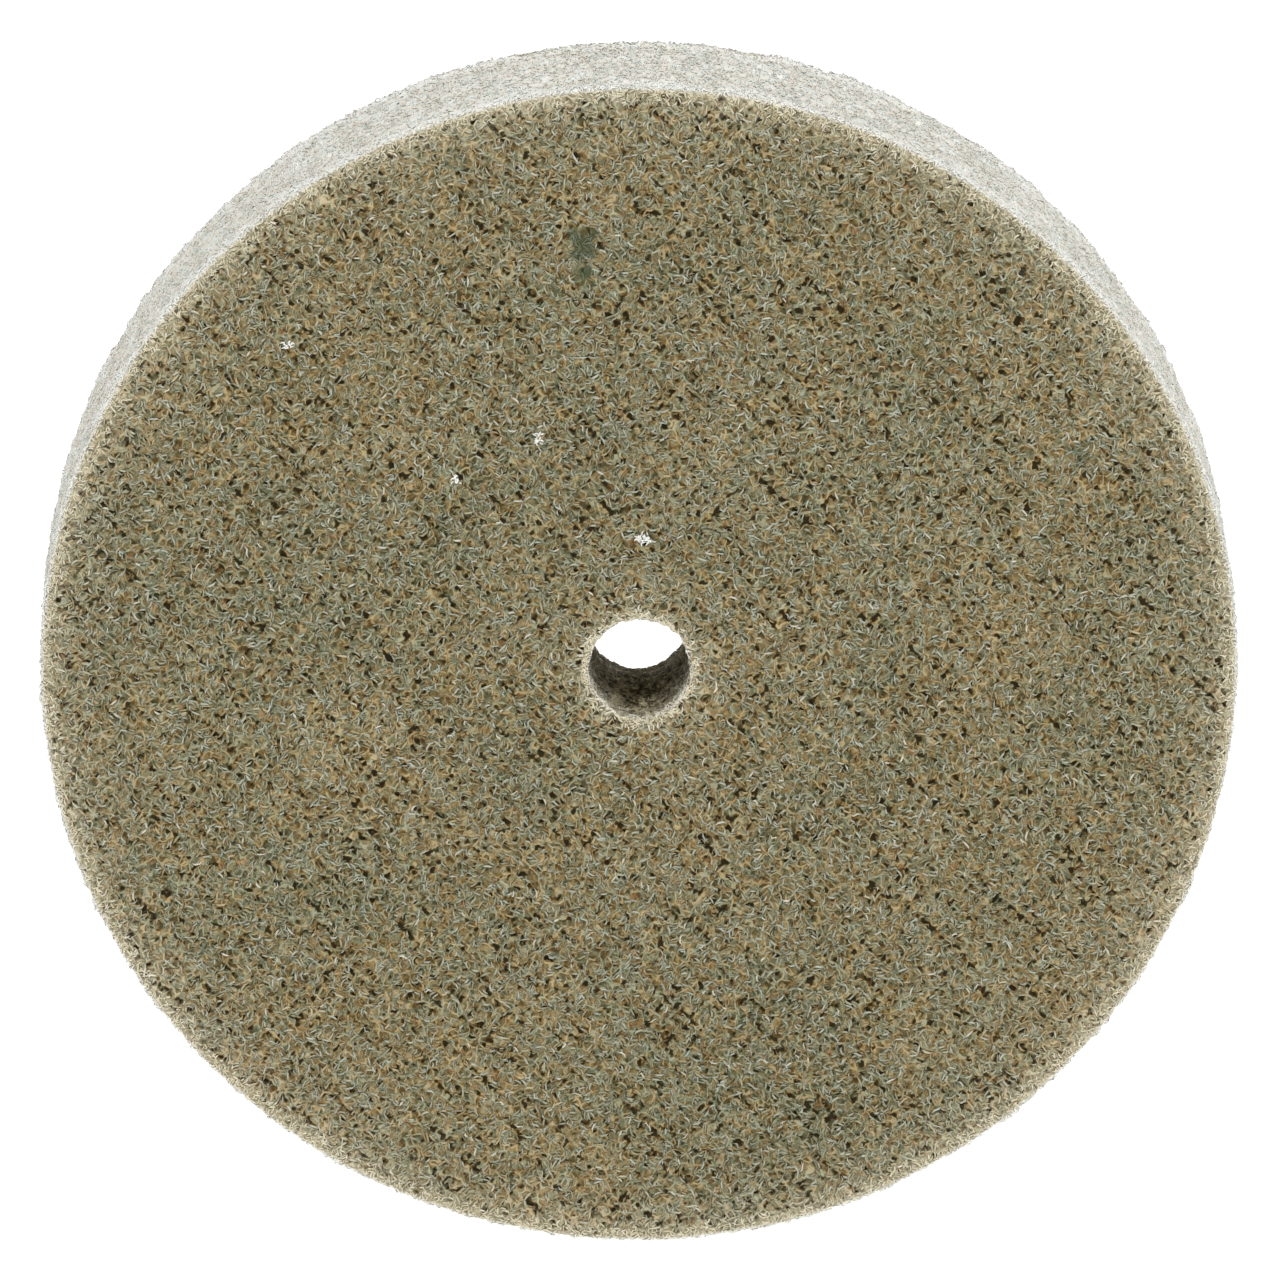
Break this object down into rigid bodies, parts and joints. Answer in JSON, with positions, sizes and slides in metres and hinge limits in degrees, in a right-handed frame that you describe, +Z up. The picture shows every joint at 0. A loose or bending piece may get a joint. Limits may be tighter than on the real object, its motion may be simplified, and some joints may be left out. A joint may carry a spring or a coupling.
{
  "type": "non-woven polishing wheel",
  "caption": "Thick flat disc of bonded fibre web plies with a plain centre bore, for polishing on a bench or lapidary arbor.",
  "frame": {"origin": "centre of the wheel, on its axis, midway between the two faces", "axes": "+Y along the wheel's axis, from the front face at -Y towards the rear face; +Z up, +X right as seen from the front"},
  "size_m": [0.1524, 0.0254, 0.1524],
  "materials": {
    "face_web": "matt olive-tan resin-bonded fibre web",
    "core_web": "pale cut fibre ends of the same web"
  },
  "bodies": {
    "root": {"front_face_ply": "face_web", "core_ply_1": "core_web", "core_ply_2": "core_web", "core_ply_3": "core_web", "core_ply_4": "core_web", "core_ply_5": "core_web", "core_ply_6": "core_web", "rear_face_ply": "face_web"}
  },
  "joints": []
}
